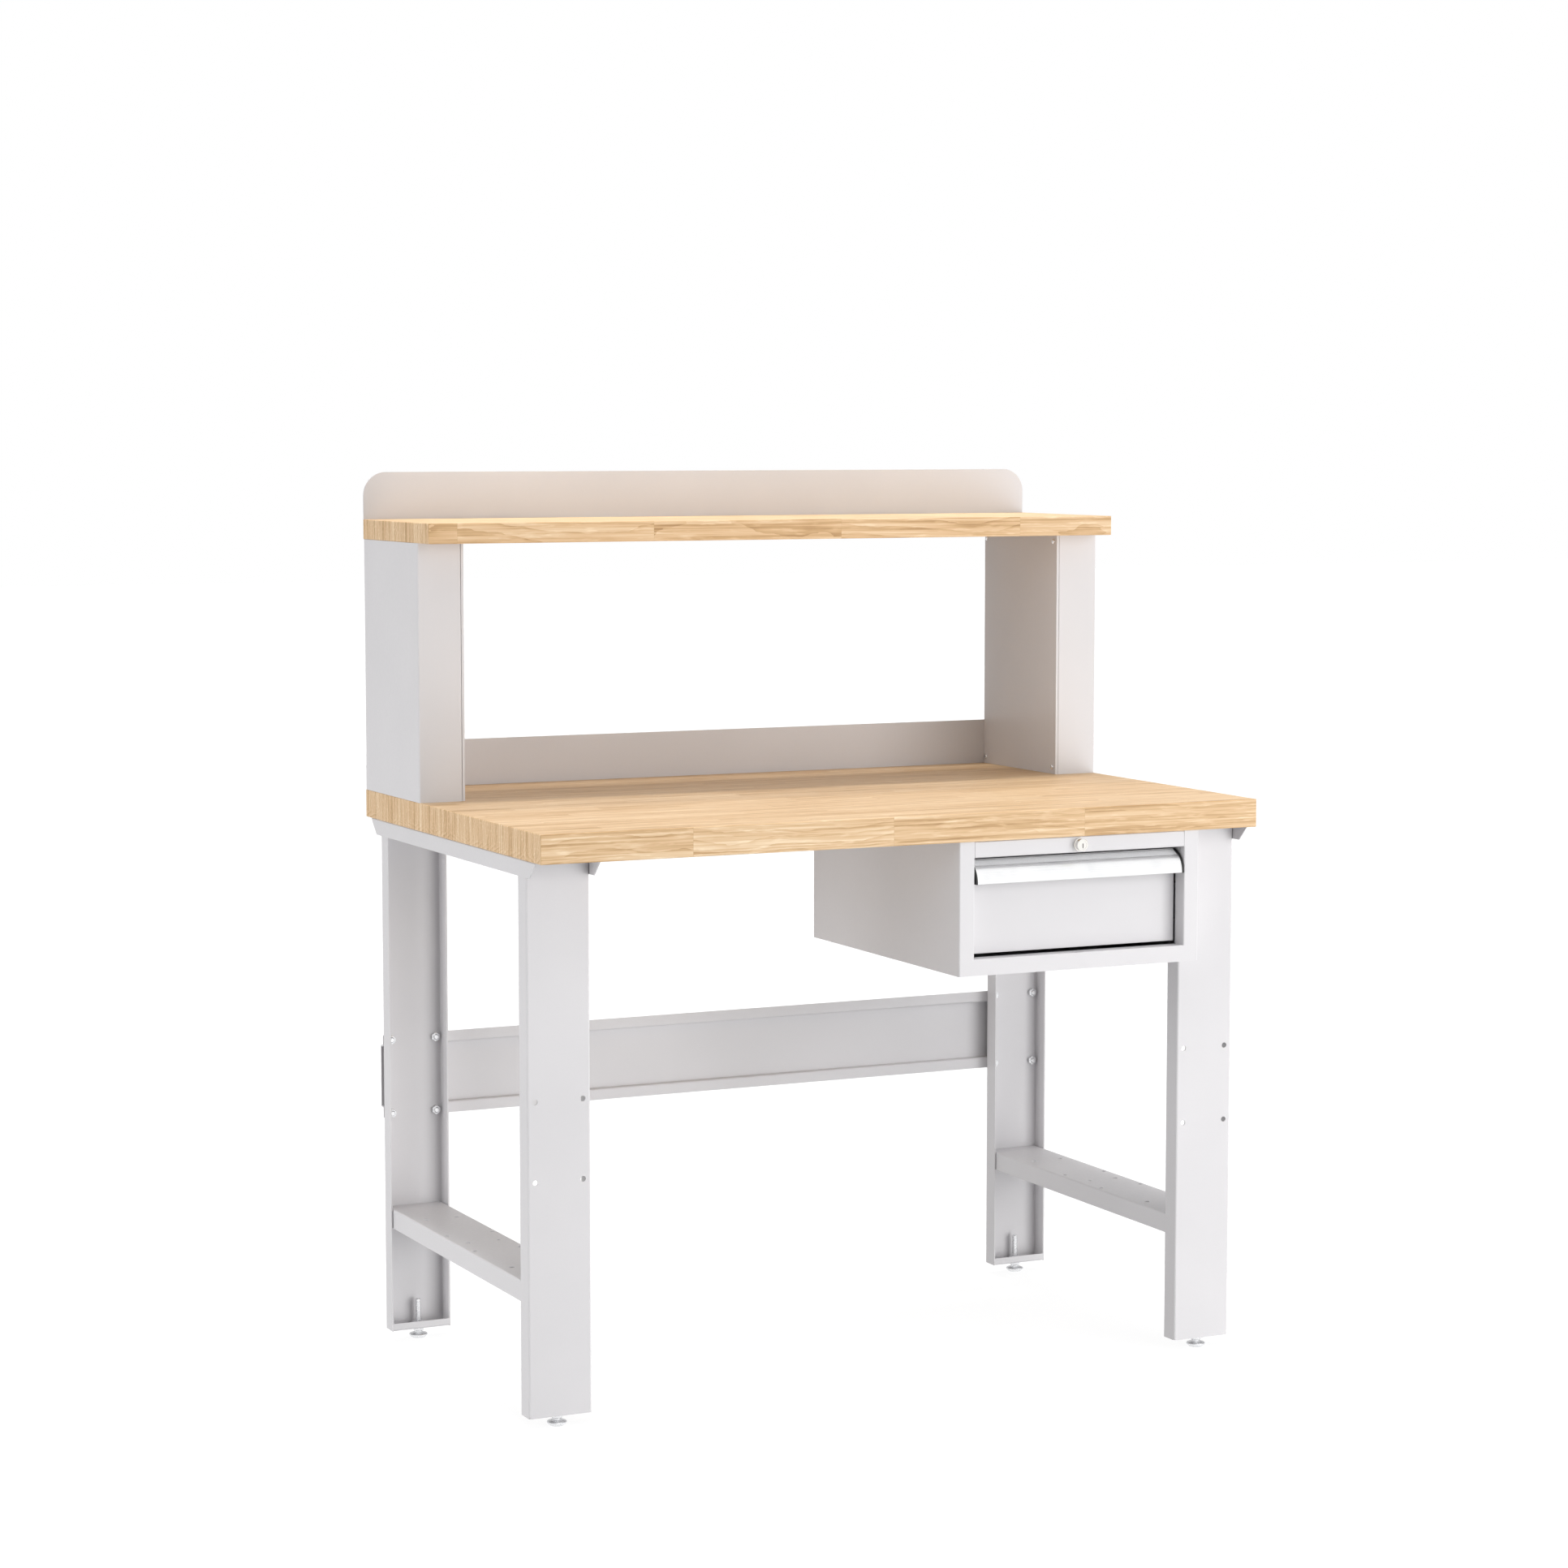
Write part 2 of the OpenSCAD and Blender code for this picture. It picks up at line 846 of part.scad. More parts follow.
// C section of height h from x = a to x = b, with its web at a
module c_section(a, b, h) {
    folded([[b, -h / 2 + slide_wall / 2], [a + slide_wall / 2, -h / 2 + slide_wall / 2],
        [a + slide_wall / 2, h / 2 - slide_wall / 2], [b, h / 2 - slide_wall / 2]], slide_wall);
}

module slide_bracket(side) {
    depth = cab_w / 2 - panel - bracket_half;
    color(paint)
        at_slide(side)
            along_y(bracket_l)
                mirror([1, 0])
                    c_section(0, depth, bracket_h);
}

module slide_outer(side) {
    color(steel)
        at_slide(side)
            along_y(slide_l)
                c_section(0, outer_reach, outer_h);
}

module slide_middle(side) {
    color(steel)
        at_slide(side)
            along_y(slide_l)
                c_section(middle_from, middle_reach, middle_h);
}

module slide_inner(side) {
    color(steel)
        at_slide(side)
            along_y(slide_l)
                translate([slide_t, 0])
                    mirror([1, 0])
                        c_section(0, slide_t - inner_from, inner_h);
}

// Ball strips above and below a slide member of height h, centred across on x
module ball_cage(x, h) {
    pitch = cage_l / ball_count;
    for (z = [-1, 1])
        translate([x, cage_y - slide_y, z * (h / 2 + ball_gap / 2)]) {
            difference() {
                translate([-cage_w / 2, 0, -cage_t / 2])
                    cube([cage_w, cage_l, cage_t]);
                for (i = [0 : ball_count - 1])
                    translate([0, (i + 0.5) * pitch, 0])
                        drill(ball_d + 0.3);
            }
            for (i = [0 : ball_count - 1])
                translate([0, (i + 0.5) * pitch, 0])
                    sphere(d = ball_d);
        }
}

module outer_ball_cages() {
    color(steel)
        for (side = [left, right])
            at_slide(side)
                ball_cage((middle_from + outer_reach) / 2 + 0.3, middle_h);
}

module inner_ball_cages() {
    color(steel)
        for (side = [left, right])
            at_slide(side)
                ball_cage((inner_from + middle_reach) / 2, inner_h);
}

module drawer_bumpers() {
    color(black_plastic)
        for (x = [-1, 1])
            translate([cab_x + x * bumper_x, cab_rear_y - panel, bumper_z])
                rotate([90, 0, 0])
                    cylinder(d1 = bumper_d, d2 = bumper_d - 3, h = cab_rear_y - panel - box_y - box_l - 0.4);
}

// ---- Drawer ----

module drawer_box() {
    w = 2 * box_half;
    color(paint)
        translate([cab_x, box_y, box_z]) {
            along_y(box_l)
                folded([
                    [-w / 2 + box_hem, box_h - panel / 2],
                    [-w / 2 + panel / 2, box_h - panel / 2],
                    [-w / 2 + panel / 2, panel / 2],
                    [w / 2 - panel / 2, panel / 2],
                    [w / 2 - panel / 2, box_h - panel / 2],
                    [w / 2 - box_hem, box_h - panel / 2]
                ], panel);
            for (y = [0, box_l - panel])
                translate([-w / 2 + panel, y, panel])
                    cube([w - 2 * panel, panel, box_h - 2 * panel]);
        }
}

module drawer_front() {
    h = drawer_top_z - drawer_bottom_z;
    color(paint)
        translate([cab_x, drawer_face_y, drawer_bottom_z])
            difference() {
                union() {
                    linear_extrude(h)
                        folded([
                            [-drawer_w / 2 + panel / 2, pan_d],
                            [-drawer_w / 2 + panel / 2, panel / 2],
                            [drawer_w / 2 - panel / 2, panel / 2],
                            [drawer_w / 2 - panel / 2, pan_d]
                        ], panel);
                    for (z = [0, h - panel - flange_drop])
                        translate([-drawer_w / 2 + panel, panel / 2, z])
                            cube([drawer_w - 2 * panel, pan_d - panel / 2, panel]);
                }
                translate([lock_x - cab_x - cam_w / 2 - 3, cam_y - drawer_face_y - 1.7, h - flange_drop - 3])
                    cube([cam_slot_l, cam_slot_w, 6]);
                for (x = handle_screw_x)
                    translate([x, 0, handle_screw_z - drawer_bottom_z])
                        rotate([90, 0, 0])
                            drill(small_d + 2 * slip);
            }
}

// The handle's curve in the Y-Z plane: a quarter ring in front of y = 0 and above z = 0
module grip_quarter(outer_r, inner_r) {
    intersection() {
        translate([grip_back, 0])
            difference() {
                circle(r = outer_r);
                circle(r = inner_r);
            }
        translate([-outer_r, 0])
            square(outer_r);
    }
}

// Moves children to the label's bed, with x running down the curve
module at_label() {
    start_z = sqrt(grip_r * grip_r - (grip_back + label_from) * (grip_back + label_from));
    translate([-label_from, start_z])
        rotate(180 + label_angle)
            translate([0, label_drop])
                children();
}

module handle() {
    leg_top = sqrt(grip_r * grip_r - grip_back * grip_back);
    color(aluminium)
        translate([cab_x, drawer_face_y, handle_z])
            difference() {
                along_x(handle_w)
                    difference() {
                        union() {
                            grip_quarter(grip_r, grip_r - grip_wall);
                            translate([-grip_leg, grip_leg_z])
                                square([grip_leg, leg_top - grip_leg_z - 0.5]);
                            translate([grip_back - grip_r + bead_r, bead_z])
                                circle(r = bead_r);
                        }
                        at_label() {
                            translate([0, -5])
                                square([label_l, 5]);
                            translate([label_l + label_lip, -5])
                                square([label_groove_w, 5 + label_groove_deep]);
                        }
                    }
                for (x = handle_screw_x)
                    translate([x, 0, handle_screw_z - handle_z])
                        rotate([90, 0, 0])
                            drill(small_d + 2 * slip);
            }
}

module label_strip() {
    color([0.80, 0.80, 0.80])
        translate([cab_x, drawer_face_y, handle_z])
            along_x(handle_w - 2 * label_end_gap)
                at_label()
                    translate([0.2, -label_t])
                        square([label_l - 0.4, label_t]);
}

module handle_cap(side) {
    color(black_plastic)
        translate([cab_x + side * (handle_w + cap_t) / 2, drawer_face_y, handle_z])
            along_x(cap_t)
                intersection() {
                    translate([grip_back, 0])
                        circle(r = cap_r);
                    translate([-cap_r, -0.5])
                        square(cap_r);
                }
}

module handle_screws() {
    color(zinc)
        for (x = handle_screw_x)
            translate([cab_x + x, drawer_face_y + panel, handle_screw_z])
                rotate([-90, 0, 0])
                    pan_screw(small_d, small_head_d, small_head_t, panel + grip_leg);
}

// ---- Lock ----

// Moves children to the lock's axis at the unit's face, with Z pointing into the room
module at_lock() {
    translate([lock_x, cab_face_y, lock_z])
        rotate([90, 0, 0])
            children();
}

module lock_body() {
    color(zinc)
        at_lock()
            difference() {
                union() {
                    translate([0, 0, -lock_back])
                        cylinder(d = lock_d, h = lock_back + lock_proud - rim);
                    translate([0, 0, lock_proud - rim])
                        cylinder(d1 = lock_d, d2 = lock_d - 2 * rim, h = rim);
                    cylinder(d = bezel_d, h = bezel_t);
                }
                translate([0, 0, -lock_back - 1])
                    cylinder(d = plug_d + 2 * plug_gap, h = lock_back + lock_proud + 2);
            }
}

module lock_nut() {
    color(zinc)
        at_lock()
            translate([0, 0, -panel - lock_nut_t])
                difference() {
                    union() {
                        cylinder(d = lock_collar_d, h = lock_nut_t);
                        cylinder(d = lock_nut_across / cos(30), h = lock_nut_t - lock_collar_t, $fn = 6);
                    }
                    translate([0, 0, -1])
                        cylinder(d = lock_d + 2 * slip, h = lock_nut_t + 2);
                }
}

module lock_plug() {
    color(zinc)
        at_lock()
            difference() {
                union() {
                    translate([0, 0, -lock_back])
                        cylinder(d = plug_d, h = lock_back + lock_proud - 0.4);
                    translate([0, 0, -lock_back - 0.3 - cam_t])
                        cylinder(d = spindle_d, h = cam_t + 0.3);
                }
                translate([-key_w / 2, -key_h * 0.65, lock_proud - key_deep])
                    cube([key_w, key_h, key_deep + 1]);
            }
}

module lock_cam() {
    color(steel)
        translate([lock_x, cam_y, lock_z])
            difference() {
                along_y(cam_t) {
                    circle(d = cam_hub_d);
                    translate([0, -cam_w / 2])
                        square([cam_l - cam_w / 2, cam_w]);
                    translate([cam_l - cam_w / 2, 0])
                        circle(d = cam_w);
                }
                rotate([90, 0, 0])
                    drill(spindle_d + 0.04);
            }
}

module lock_cam_screw() {
    color(zinc)
        translate([lock_x, cam_y + cam_t, lock_z])
            rotate([-90, 0, 0])
                cylinder(d1 = spindle_d + 3, d2 = spindle_d + 1, h = 2);
}

worktop();
shelf();
post_at(left, front);  // front_left_post
post_at(right, front);  // front_right_post
post_at(left, rear);  // rear_left_post
post_at(right, rear);  // rear_right_post
crossbar(left);  // left_crossbar
crossbar(right);  // right_crossbar
foot_rail(left);  // left_foot_rail
foot_rail(right);  // right_foot_rail
rear_stringer();
stringer_bolts();
stringer_nuts();
worktop_screws();
riser(left);  // left_riser
riser(right);  // right_riser
riser_cover(left);  // left_riser_cover
riser_cover(right);  // right_riser_cover
riser_cover_screws();
riser_fixing_screws();
upper_stop();
lower_stop();
stop_screws();
cabinet_shell();
cabinet_back();
cabinet_top_rail();
cabinet_screws();
slide_bracket(left);  // left_slide_bracket
slide_bracket(right);  // right_slide_bracket
slide_outer(left);  // left_slide_outer
slide_outer(right);  // right_slide_outer
lock_body();
lock_nut();
drawer_bumpers();
glide_nuts();
glide_stud_at(left, front);  // front_left_glide_stud
glide_stud_at(right, front);  // front_right_glide_stud
glide_stud_at(left, rear);  // rear_left_glide_stud
glide_stud_at(right, rear);  // rear_right_glide_stud
glide_pad_at(left, front);  // front_left_glide_pad
glide_pad_at(right, front);  // front_right_glide_pad
glide_pad_at(left, rear);  // rear_left_glide_pad
glide_pad_at(right, rear);  // rear_right_glide_pad
drawer_box();
drawer_front();
handle();
handle_cap(left);  // left_handle_cap
handle_cap(right);  // right_handle_cap
label_strip();
handle_screws();
slide_inner(left);  // left_slide_inner
slide_inner(right);  // right_slide_inner
slide_middle(left);  // left_slide_middle
slide_middle(right);  // right_slide_middle
outer_ball_cages();
inner_ball_cages();
lock_plug();
lock_cam();
lock_cam_screw();
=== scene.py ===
"""Looks of the workshop bench: materials, threaded and recessed fasteners, floor, light and camera.

Metres. X runs right seen from the front, Y to the back and Z up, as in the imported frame.
"""
import json
import math

import bmesh
import bpy
from mathutils import Matrix, Vector


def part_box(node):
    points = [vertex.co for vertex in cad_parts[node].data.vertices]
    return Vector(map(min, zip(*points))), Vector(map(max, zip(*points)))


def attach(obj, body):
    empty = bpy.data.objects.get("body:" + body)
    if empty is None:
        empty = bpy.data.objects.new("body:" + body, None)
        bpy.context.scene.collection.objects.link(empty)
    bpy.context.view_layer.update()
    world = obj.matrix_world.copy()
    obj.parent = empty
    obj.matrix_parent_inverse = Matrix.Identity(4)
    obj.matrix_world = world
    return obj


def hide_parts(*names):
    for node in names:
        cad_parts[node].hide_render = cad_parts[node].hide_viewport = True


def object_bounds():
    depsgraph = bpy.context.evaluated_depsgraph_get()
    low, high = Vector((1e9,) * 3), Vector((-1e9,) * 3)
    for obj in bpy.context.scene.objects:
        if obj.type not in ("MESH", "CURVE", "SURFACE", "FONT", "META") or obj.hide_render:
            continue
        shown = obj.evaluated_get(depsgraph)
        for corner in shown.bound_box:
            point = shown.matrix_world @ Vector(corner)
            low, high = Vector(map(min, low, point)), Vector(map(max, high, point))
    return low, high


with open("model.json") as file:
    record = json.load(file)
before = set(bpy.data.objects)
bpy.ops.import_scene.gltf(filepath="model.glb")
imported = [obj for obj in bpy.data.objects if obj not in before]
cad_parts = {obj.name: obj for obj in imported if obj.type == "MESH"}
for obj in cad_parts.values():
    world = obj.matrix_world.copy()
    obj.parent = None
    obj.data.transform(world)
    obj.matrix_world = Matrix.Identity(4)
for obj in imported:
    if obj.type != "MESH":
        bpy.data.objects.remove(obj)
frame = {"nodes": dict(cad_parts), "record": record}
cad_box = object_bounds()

MM = 0.001
NODES = frame["nodes"]
BODY_OF = {
    node: body
    for body, members in frame["record"]["behaviour"]["bodies"].items()
    for node in members
}


# ---- Node trees ----

class Tree:
    """The node tree of a material or a world, with one short call for each node."""

    def __init__(self, owner):
        owner.use_nodes = True
        self.nodes = owner.node_tree.nodes
        self.links = owner.node_tree.links
        self.shader = next((node for node in self.nodes if node.type == "BSDF_PRINCIPLED"), None)

    def feed(self, socket, value):
        """Links value to the socket if it is an output, and otherwise sets it there."""
        if isinstance(value, bpy.types.NodeSocket):
            self.links.new(value, socket)
        else:
            socket.default_value = value

    def add(self, kind, inputs=(), **settings):
        """A new node of that kind, with its settings made and its inputs fed."""
        node = self.nodes.new("ShaderNode" + kind)
        for name, value in settings.items():
            setattr(node, name, value)
        for name, value in dict(inputs).items():
            self.feed(node.inputs[name], value)
        return node

    def set(self, **values):
        """Sets or links the main shader's sockets, named with _ for a space."""
        for name, value in values.items():
            self.feed(self.shader.inputs[name.replace("_", " ")], value)

    def place(self):
        """The point in the object's own frame, in metres."""
        return self.add("TexCoord").outputs["Object"]

    def moved(self, vector, by):
        return self.add("VectorMath", {0: vector, 1: by}, operation="ADD").outputs[0]

    def stretched(self, vector, x, y, z):
        return self.add("VectorMath", {0: vector, 1: (x, y, z)}, operation="MULTIPLY").outputs[0]

    def facing(self, vector, direction):
        """1 where a unit vector points along a unit direction, 0 across it and -1 against it."""
        return self.add("VectorMath", {0: vector, 1: direction}, operation="DOT_PRODUCT").outputs["Value"]

    def math(self, operation, a, b=0.0):
        return self.add("Math", {0: a, 1: b}, operation=operation).outputs[0]

    def times(self, a, b):
        return self.math("MULTIPLY", a, b)

    def minus(self, a, b):
        return self.math("SUBTRACT", a, b)

    def sum(self, *values):
        total = values[0]
        for value in values[1:]:
            total = self.math("ADD", total, value)
        return total

    def hypotenuse(self, a, b):
        return self.math("SQRT", self.sum(self.times(a, a), self.times(b, b)))

    def split(self, vector):
        return self.add("SeparateXYZ", {0: vector}).outputs

    def join(self, x, y, z):
        return self.add("CombineXYZ", {0: x, 1: y, 2: z}).outputs[0]

    def noise(self, vector, scale, detail=2.0, roughness=0.5):
        inputs = {"Vector": vector, "Scale": scale, "Detail": detail, "Roughness": roughness}
        return self.add("TexNoise", inputs).outputs["Fac"]

    def spread(self, value, low, high, to_low, to_high):
        """value from low to high becomes to_low to to_high, clamped."""
        return self.add("MapRange", {0: value, 1: low, 2: high, 3: to_low, 4: to_high}).outputs[0]

    def draw(self, vector):
        """Three numbers from 0 to 1 drawn at random for each value of vector."""
        return self.split(self.add("TexWhiteNoise", {"Vector": vector}).outputs["Color"])

    def ramp(self, value, *stops):
        """The colour at value, between stops of (position, colour)."""
        node = self.add("ValToRGB", {0: value})
        points = node.color_ramp.elements
        while len(points) < len(stops):
            points.new(0.5)
        for point, (position, colour) in zip(points, stops):
            point.position = position
            point.color = (*colour, 1)
        return node.outputs[0]

    def bump(self, height, depth):
        """A bump of that depth in metres where height goes from 0 to 1."""
        return self.add("Bump", {"Height": height, "Distance": depth, "Strength": 1.0}).outputs[0]


def grey(level):
    return (level, level, level)


def new_material(name):
    material = bpy.data.materials.new(name)
    return material, Tree(material)


# ---- Materials ----

def powder_coat():
    """Pale grey powder coat: faint clouding, orange peel and a fine fleck in the gloss."""
    material, t = new_material("powder_coat")
    place = t.place()
    cloud = t.noise(place, 4.0, 3.0)
    fleck = t.noise(place, 1400.0, 1.0)
    tone = t.sum(t.times(cloud, 0.7), t.times(fleck, 0.3))
    t.set(
        Base_Color=t.ramp(tone, (0.3, (0.615, 0.605, 0.618)), (0.7, (0.665, 0.652, 0.665))),
        Roughness=t.spread(t.noise(place, 260.0, 3.0), 0.3, 0.7, 0.36, 0.52),
        Normal=t.bump(t.noise(place, 520.0, 2.0), 0.05 * MM),
    )
    return material


STAVE_W = 38 * MM
FIRST_STAVE = 0.31      # the staves' count at Y = 0
SWAY = 0.22             # how far the glue lines sway from even spacing, in staves
SWAY_RATE = 29.0        # radians of that sway per metre across the board
LENGTH = 332 * MM       # of each piece of wood in a stave
FIRST_LENGTH = 0.929    # the lengths' count at X = 0, in row 0
STAGGER = 0.382         # from one stave's butt joints to the next one's, in lengths


def wood_count(t, place):
    """Counts the staves across the board, as a number and a whole row, and the lengths along them."""
    x, y, _ = t.split(place)
    sway = t.times(t.math("SINE", t.times(y, SWAY_RATE)), SWAY)
    across = t.sum(t.math("DIVIDE", y, STAVE_W), sway, FIRST_STAVE)
    row = t.math("FLOOR", across)
    along = t.sum(t.math("DIVIDE", x, LENGTH), t.times(row, STAGGER), FIRST_LENGTH)
    return across, row, along


def late_wood(t, place, shifted, row, side, tilt):
    """Growth rings round a pith far to one side, so that they stand upright in the ends of the board.

    It rises from 0 to 1 through each ring. side and tilt are the length's own random numbers. Heights
    are taken from the whole step of 430 mm below them.
    """
    _, y, z = t.split(place)
    level = t.math("SNAP", z, 430 * MM)
    turn = t.math("SIGN", t.minus(tilt, 0.5))
    pith_y = t.times(turn, t.spread(side, 0.0, 1.0, 80 * MM, 240 * MM))
    pith_z = t.spread(tilt, 0.0, 1.0, -90 * MM, 90 * MM)
    dy = t.minus(t.minus(y, t.times(row, STAVE_W)), pith_y)
    dz = t.minus(t.minus(z, level), pith_z)
    bend = t.noise(t.stretched(shifted, 2.4, 6.0, 6.0), 1.0, 2.0)
    ripple = t.noise(t.stretched(shifted, 20.0, 80.0, 80.0), 1.0, 2.0)
    wavy = t.sum(t.hypotenuse(dy, dz), t.times(bend, 46 * MM), t.times(ripple, 6 * MM))
    ring = t.spread(side, 0.0, 1.0, 4.5 * MM, 9.0 * MM)
    return t.math("POWER", t.math("FRACT", t.math("DIVIDE", wavy, ring)), 2.0)


def glue_lines(t, across, along):
    """1 in the thin glue lines between staves and between lengths, and 0 elsewhere."""
    seam_y = t.math("ABSOLUTE", t.minus(t.math("FRACT", across), 0.5))
    seam_x = t.math("ABSOLUTE", t.minus(t.math("FRACT", along), 0.5))
    return t.math("MAXIMUM", t.spread(seam_y, 0.488, 0.497, 0, 1), t.spread(seam_x, 0.4985, 0.4996, 0, 1))


def butcher_block():
    """Glued staves side by side across the board, each of butted lengths of softwood along X."""
    material, t = new_material("butcher_block")
    place = t.place()
    across, row, along = wood_count(t, place)
    length = t.math("FLOOR", along)
    tone, side, tilt = t.draw(t.join(row, length, 1.0))
    shifted = t.moved(place, t.join(t.times(tone, 31.0), row, length))
    late = late_wood(t, place, shifted, row, side, tilt)

    # Streaks, dashes and fibres drawn out along the grain, and upright stripes in the end grain
    normal = t.split(t.add("NewGeometry").outputs["True Normal"])
    is_end = t.spread(t.math("ABSOLUTE", normal[0]), 0.5, 0.8, 0, 1)
    streak = t.noise(t.stretched(shifted, 3.4, 125.0, 210.0), 1.0, 3.0, 0.62)
    stripe = t.noise(t.stretched(shifted, 2.0, 150.0, 7.0), 1.0, 3.0, 0.65)
    grain = t.add("Mix", {"Factor": is_end, "A": streak, "B": stripe}).outputs["Result"]
    fibre = t.noise(t.stretched(shifted, 22.0, 700.0, 700.0), 1.0, 2.0, 0.6)
    dash = t.noise(t.stretched(shifted, 30.0, 230.0, 230.0), 1.0, 2.0)
    ring_strength = t.spread(t.noise(t.stretched(shifted, 1.6, 30.0, 30.0), 1.0), 0.35, 0.65, 0.12, 0.36)

    # From dark late wood at 0 to the palest early wood at 1
    value = t.sum(
        t.spread(tone, 0.0, 1.0, 0.42, 0.57),
        t.spread(grain, 0.34, 0.66, -0.28, 0.28),
        t.spread(dash, 0.55, 0.72, 0.0, 0.22),
        t.spread(fibre, 0.2, 0.8, -0.06, 0.06),
        t.times(t.minus(0.35, late), ring_strength),
    )
    timber = t.ramp(
        value,
        (0.00, (0.35, 0.200, 0.085)),
        (0.28, (0.52, 0.330, 0.160)),
        (0.50, (0.655, 0.445, 0.252)),
        (0.72, (0.72, 0.525, 0.325)),
        (1.00, (0.85, 0.680, 0.475)),
    )
    glue = glue_lines(t, across, along)
    glued = t.add("Mix", {"Factor": t.times(glue, 0.22)}, data_type="RGBA")
    t.feed(glued.inputs[6], timber)
    t.feed(glued.inputs[7], (0.36, 0.21, 0.10, 1))

    grain_height = t.sum(t.times(fibre, 0.6), t.times(late, -0.4))
    t.set(
        Base_Color=glued.outputs[2],
        Roughness=t.spread(t.sum(streak, fibre), 0.6, 1.4, 0.40, 0.56),
        Specular_IOR_Level=0.35,
        Normal=t.bump(t.minus(grain_height, glue), 0.05 * MM),
    )
    return material


def zinc():
    """Bright zinc plating, slightly mottled, under a thin pale film."""
    material, t = new_material("zinc")
    place = t.place()
    mottle = t.noise(place, 300.0, 3.0)
    t.set(
        Metallic=0.75,
        Base_Color=t.ramp(mottle, (0.3, (0.76, 0.77, 0.79)), (0.7, (0.89, 0.89, 0.90))),
        Roughness=t.spread(t.noise(place, 900.0, 2.0), 0.3, 0.7, 0.18, 0.32),
        Normal=t.bump(t.noise(place, 1500.0, 2.0), 0.01 * MM),
    )
    return material


def nickel():
    """Turned and plated nickel, with fine marks round the lock's axis."""
    material, t = new_material("nickel")
    low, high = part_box("lock_body")
    centre = (low + high) / 2
    x, _, z = t.split(t.place())
    radius = t.hypotenuse(t.minus(x, centre.x), t.minus(z, centre.z))
    marks = t.noise(t.join(t.times(radius, 2600.0), 0.0, 0.0), 1.0, 3.0)
    t.set(
        Metallic=1.0,
        Base_Color=t.ramp(marks, (0.3, (0.82, 0.80, 0.76)), (0.7, (0.90, 0.885, 0.85))),
        Roughness=t.spread(marks, 0.3, 0.7, 0.14, 0.26),
        Normal=t.bump(marks, 0.006 * MM),
    )
    return material


def slide_steel():
    """Bright rolled strip, drawn along Y, with a thin film of grease."""
    material, t = new_material("slide_steel")
    place = t.place()
    drawn = t.noise(t.stretched(place, 900.0, 12.0, 900.0), 1.0, 3.0)
    smear = t.noise(place, 30.0, 3.0)
    t.set(
        Metallic=1.0,
        Base_Color=t.ramp(drawn, (0.3, (0.55, 0.56, 0.58)), (0.7, (0.70, 0.71, 0.72))),
        Roughness=t.spread(smear, 0.3, 0.7, 0.22, 0.42),
        Normal=t.bump(drawn, 0.01 * MM),
    )
    return material


def anodised_aluminium():
    """Satin anodised extrusion with die lines along X."""
    material, t = new_material("anodised_aluminium")
    place = t.place()
    die = t.noise(t.stretched(place, 3.0, 1500.0, 1500.0), 1.0, 3.0)
    cloud = t.noise(place, 25.0, 2.0)
    t.set(
        Metallic=1.0,
        Base_Color=t.ramp(t.sum(die, cloud), (0.7, (0.86, 0.865, 0.875)), (1.0, (0.93, 0.93, 0.935))),
        Roughness=t.spread(die, 0.3, 0.7, 0.26, 0.40),
        Normal=t.bump(die, 0.008 * MM),
    )
    return material


def black_plastic():
    """Moulded black plastic with a fine spark-eroded texture."""
    material, t = new_material("black_plastic")
    place = t.place()
    t.set(
        Base_Color=t.ramp(t.noise(place, 80.0, 2.0), (0.3, grey(0.010)), (0.7, grey(0.022))),
        Roughness=t.spread(t.noise(place, 500.0, 2.0), 0.3, 0.7, 0.42, 0.6),
        Normal=t.bump(t.noise(place, 1800.0, 2.0), 0.03 * MM),
    )
    return material


def black_rubber():
    """Dull black rubber with a little bloom."""
    material, t = new_material("black_rubber")
    place = t.place()
    t.set(
        Base_Color=t.ramp(t.noise(place, 120.0, 4.0), (0.35, grey(0.018)), (0.75, grey(0.045))),
        Roughness=t.spread(t.noise(place, 300.0, 3.0), 0.3, 0.7, 0.7, 0.9),
        Normal=t.bump(t.noise(place, 900.0, 2.0), 0.05 * MM),
    )
    return material


def label_card():
    """Blank pale card under a clear strip: paper fibres in a smooth surface."""
    material, t = new_material("label_card")
    place = t.place()
    fibres = t.noise(t.stretched(place, 700.0, 1500.0, 1500.0), 1.0, 3.0)
    t.set(
        Base_Color=t.ramp(fibres, (0.3, (0.82, 0.83, 0.84)), (0.7, (0.90, 0.905, 0.91))),
        Roughness=t.spread(fibres, 0.3, 0.7, 0.18, 0.30),
        Normal=t.bump(t.noise(place, 200.0, 2.0), 0.02 * MM),
    )
    return material


MATERIALS = {
    make.__name__: make()
    for make in (
        powder_coat, butcher_block, zinc, nickel, slide_steel, anodised_aluminium,
        black_plastic, black_rubber, label_card,
    )
}


def finish_cad_nodes():
    """Gives each CAD node the material of its slot in the record."""
    for part in frame["record"]["subparts"]:
        mesh = NODES[part["node"]].data
        mesh.materials.clear()
        mesh.materials.append(MATERIALS[part["material_slot"]])


# ---- Meshes and objects ----

def mesh_of(work, name):
    """The finished mesh of a bmesh, which is then let go."""
    mesh = bpy.data.meshes.new(name)
    work.to_mesh(mesh)
    work.free()
    return mesh


def new_object(name, data):
    """A new object in the scene."""
    made = bpy.data.objects.new(name, data)
    bpy.context.scene.collection.objects.link(made)
    return made


# ---- Turned pieces ----

SIDES = 24
FACE = 0.475            # radius of a hexagon's flat face, in widths across its flats
CHAMFER_RISE = 0.58     # height of a hexagon's corner chamfer for each unit that it cuts in


def ring_angles():
    return [2 * math.pi * i / SIDES for i in range(SIDES)]


def round_row(z, radius):
    """One ring of points of a turned piece."""
    return [(radius * math.cos(a), radius * math.sin(a), z) for a in ring_angles()]


